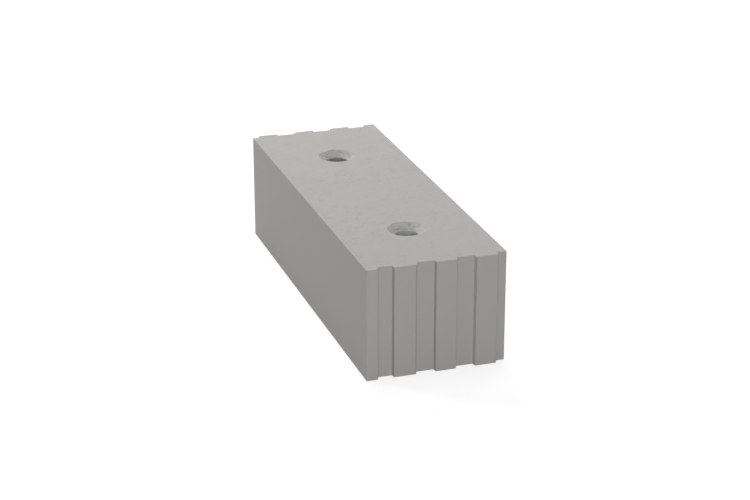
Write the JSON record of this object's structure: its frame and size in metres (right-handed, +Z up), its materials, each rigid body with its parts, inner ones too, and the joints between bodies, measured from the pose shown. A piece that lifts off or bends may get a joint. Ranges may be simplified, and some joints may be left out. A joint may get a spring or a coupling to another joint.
{
  "type": "calcium silicate block",
  "caption": "Long rectangular masonry block with straight sides, vertical tongues and grooves across both ends, and round grip holes with funnel mouths in its upper face.",
  "frame": {"origin": "middle of the lower bed face, which is the face that the block lies on", "axes": "+Y along the block's length, +Z up from the lower bed face to the upper one with the funnel mouths, +X across the width; the front end, towards -Y, has its corner tongue at the -X side face"},
  "size_m": [0.175, 0.504, 0.14],
  "materials": {
    "calcium_silicate": "matte"
  },
  "bodies": {
    "root": {"block": "calcium_silicate"}
  },
  "joints": []
}
